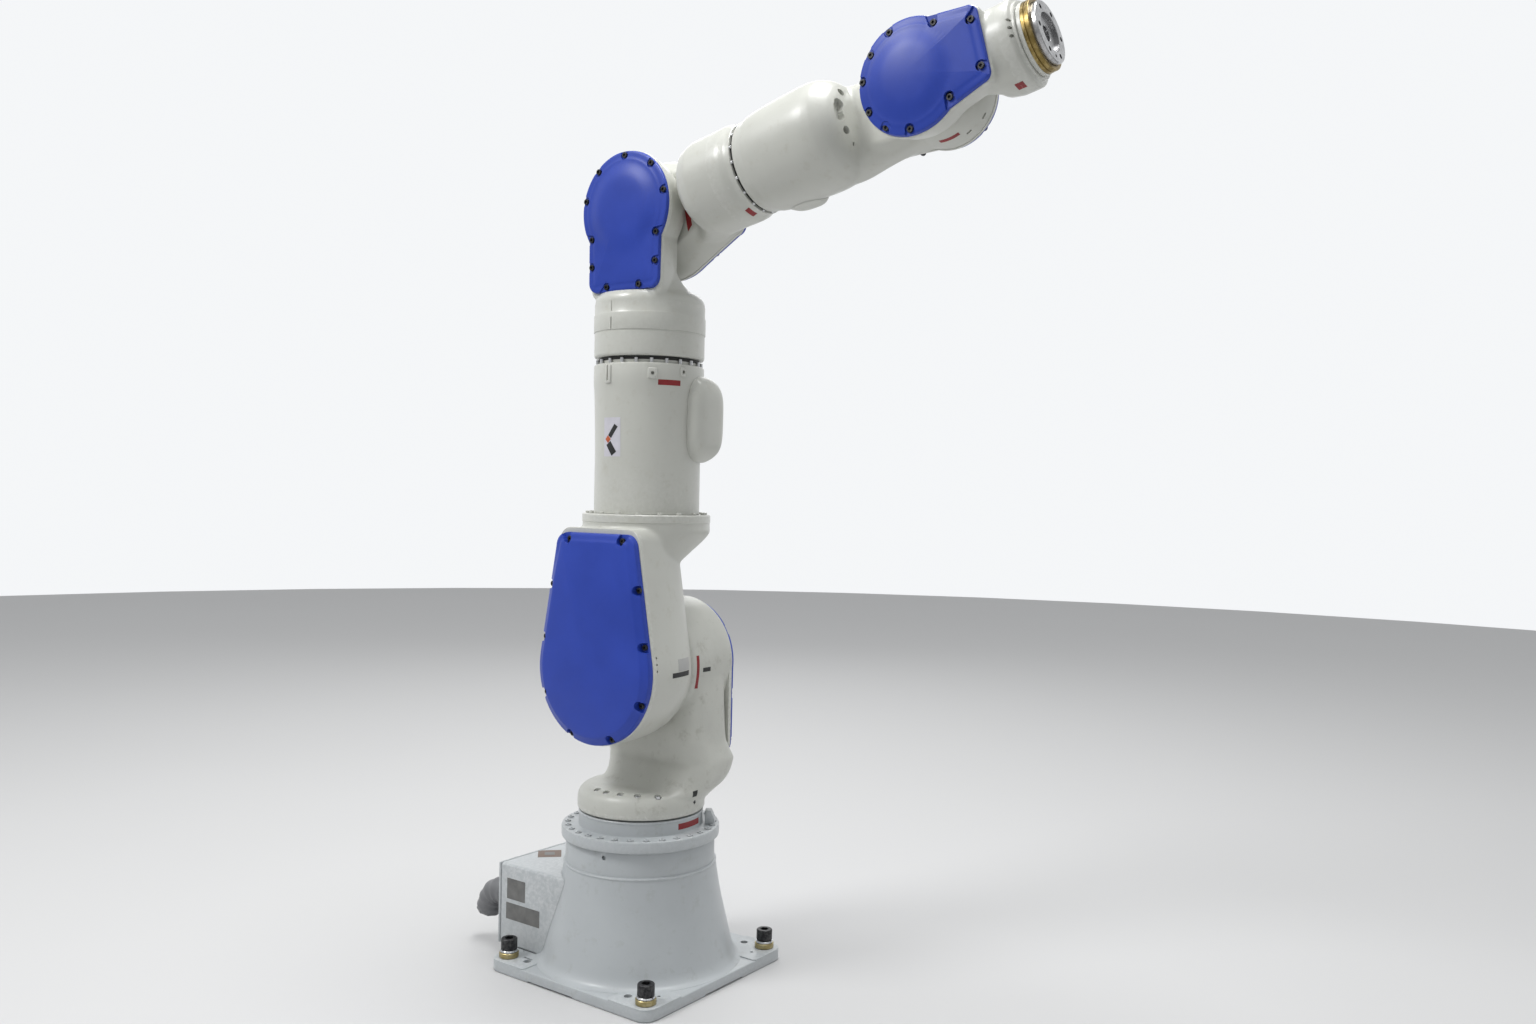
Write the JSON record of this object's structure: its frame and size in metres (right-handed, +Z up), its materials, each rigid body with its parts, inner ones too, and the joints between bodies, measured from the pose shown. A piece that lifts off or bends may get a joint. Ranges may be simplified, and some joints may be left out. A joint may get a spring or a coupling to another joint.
{
  "type": "seven-axis articulated robot arm",
  "caption": "Jointed industrial robot arm with offset cheek joints, rolling tubes between them, side motor covers, a square base plate and a round tool flange.",
  "frame": {"origin": "centre of the base plate's underside, on the swivel axis", "axes": "+Z up along the swivel axis, +X the way the forearm reaches, -Y the side of the covers on the moving cheeks"},
  "size_m": [1.162, 0.4, 1.676],
  "materials": {
    "base_paint": "cream white paint over a casting, satin",
    "arm_paint": "cream white paint over an aluminium casting, satin",
    "blue_cover": "deep blue moulding, satin",
    "black_oxide": "black oxide",
    "yellow_zinc": "yellow zinc plate",
    "bright_zinc": "bright zinc plate",
    "machined_steel": "fine turned",
    "gold_ring": "gold anodised",
    "grey_shell": "dark grey paint on a die casting",
    "motor_housing": "black anodised",
    "reducer_steel": "ground"
  },
  "bodies": {
    "base": {"base_casting": "base_paint", "connector_box": "base_paint", "connector_panel": "base_paint", "power_connector_hood": "grey_shell", "signal_connector": "grey_shell", "air_port_1": "yellow_zinc", "air_port_2": "yellow_zinc", "anchor_spacer_1": "yellow_zinc", "anchor_spacer_2": "yellow_zinc", "anchor_spacer_3": "yellow_zinc", "anchor_spacer_4": "yellow_zinc", "spring_washer_1": "bright_zinc", "spring_washer_2": "bright_zinc", "spring_washer_3": "bright_zinc", "spring_washer_4": "bright_zinc", "anchor_bolt_1": "black_oxide", "anchor_bolt_2": "black_oxide", "anchor_bolt_3": "black_oxide", "anchor_bolt_4": "black_oxide", "swivel_bearing_ring": "base_paint", "swivel_servo_motor": "motor_housing", "swivel_reducer": "reducer_steel"},
    "swivel": {"swivel_output_flange": "machined_steel", "swivel_casting": "arm_paint", "shoulder_reducer": "reducer_steel", "shoulder_servo_motor": "motor_housing", "swivel_side_cover": "blue_cover"},
    "upper_arm": {"shoulder_output_flange": "machined_steel", "shoulder_casting": "arm_paint", "shoulder_side_cover": "blue_cover", "upper_arm_tube": "arm_paint", "upper_arm_cable_cover": "arm_paint", "upper_arm_servo_motor": "motor_housing", "upper_arm_reducer": "reducer_steel"},
    "elbow": {"upper_arm_output_flange": "machined_steel", "elbow_output_flange": "machined_steel", "elbow_casting": "arm_paint", "elbow_side_cover": "blue_cover"},
    "forearm_base": {"forearm_base_casting": "arm_paint", "elbow_reducer": "reducer_steel", "elbow_servo_motor": "motor_housing", "forearm_base_cover": "blue_cover", "forearm_servo_motor": "motor_housing", "forearm_reducer": "reducer_steel"},
    "forearm": {"forearm_output_flange": "machined_steel", "forearm_tube": "arm_paint", "forearm_cable_cover": "arm_paint", "wrist_bend_reducer": "reducer_steel", "wrist_bend_servo_motor": "motor_housing", "forearm_end_cover": "blue_cover"},
    "wrist": {"wrist_bend_output_flange": "machined_steel", "wrist_casting": "arm_paint", "wrist_side_cover": "blue_cover", "tool_servo_motor": "motor_housing", "tool_reducer": "reducer_steel", "tool_seal_ring": "gold_ring"},
    "tool": {"tool_flange": "machined_steel"}
  },
  "joints": [
    {"name": "swivel_turn", "type": "hinge", "parent": "base", "child": "swivel", "pos_m": [0, 0, 0.303], "axis": [0, 0, 1], "range_deg": [-180, 180]},
    {"name": "shoulder_pitch", "type": "hinge", "parent": "swivel", "child": "upper_arm", "pos_m": [0, 0, 0.578], "axis": [0, 1, 0], "range_deg": [-110, 110]},
    {"name": "upper_arm_roll", "type": "hinge", "parent": "upper_arm", "child": "elbow", "pos_m": [0, 0, 1.149], "axis": [0, 0, 1], "range_deg": [-170, 170]},
    {"name": "elbow_pitch", "type": "hinge", "parent": "elbow", "child": "forearm_base", "pos_m": [0, 0, 1.43], "axis": [0, 1, 0], "range_deg": [-187, 32]},
    {"name": "forearm_roll", "type": "hinge", "parent": "forearm_base", "child": "forearm", "pos_m": [0.25559, 0, 1.4876], "axis": [0.9755, 0, 0.2198], "range_deg": [-180, 180]},
    {"name": "wrist_bend", "type": "hinge", "parent": "forearm", "child": "wrist", "pos_m": [0.59995, 0, 1.5652], "axis": [0, 1, 0], "range_deg": [-108, 112]},
    {"name": "tool_roll", "type": "hinge", "parent": "wrist", "child": "tool", "pos_m": [0.77213, 0, 1.61037], "axis": [0.9673, 0, 0.2538], "range_deg": [-180, 180]}
  ]
}
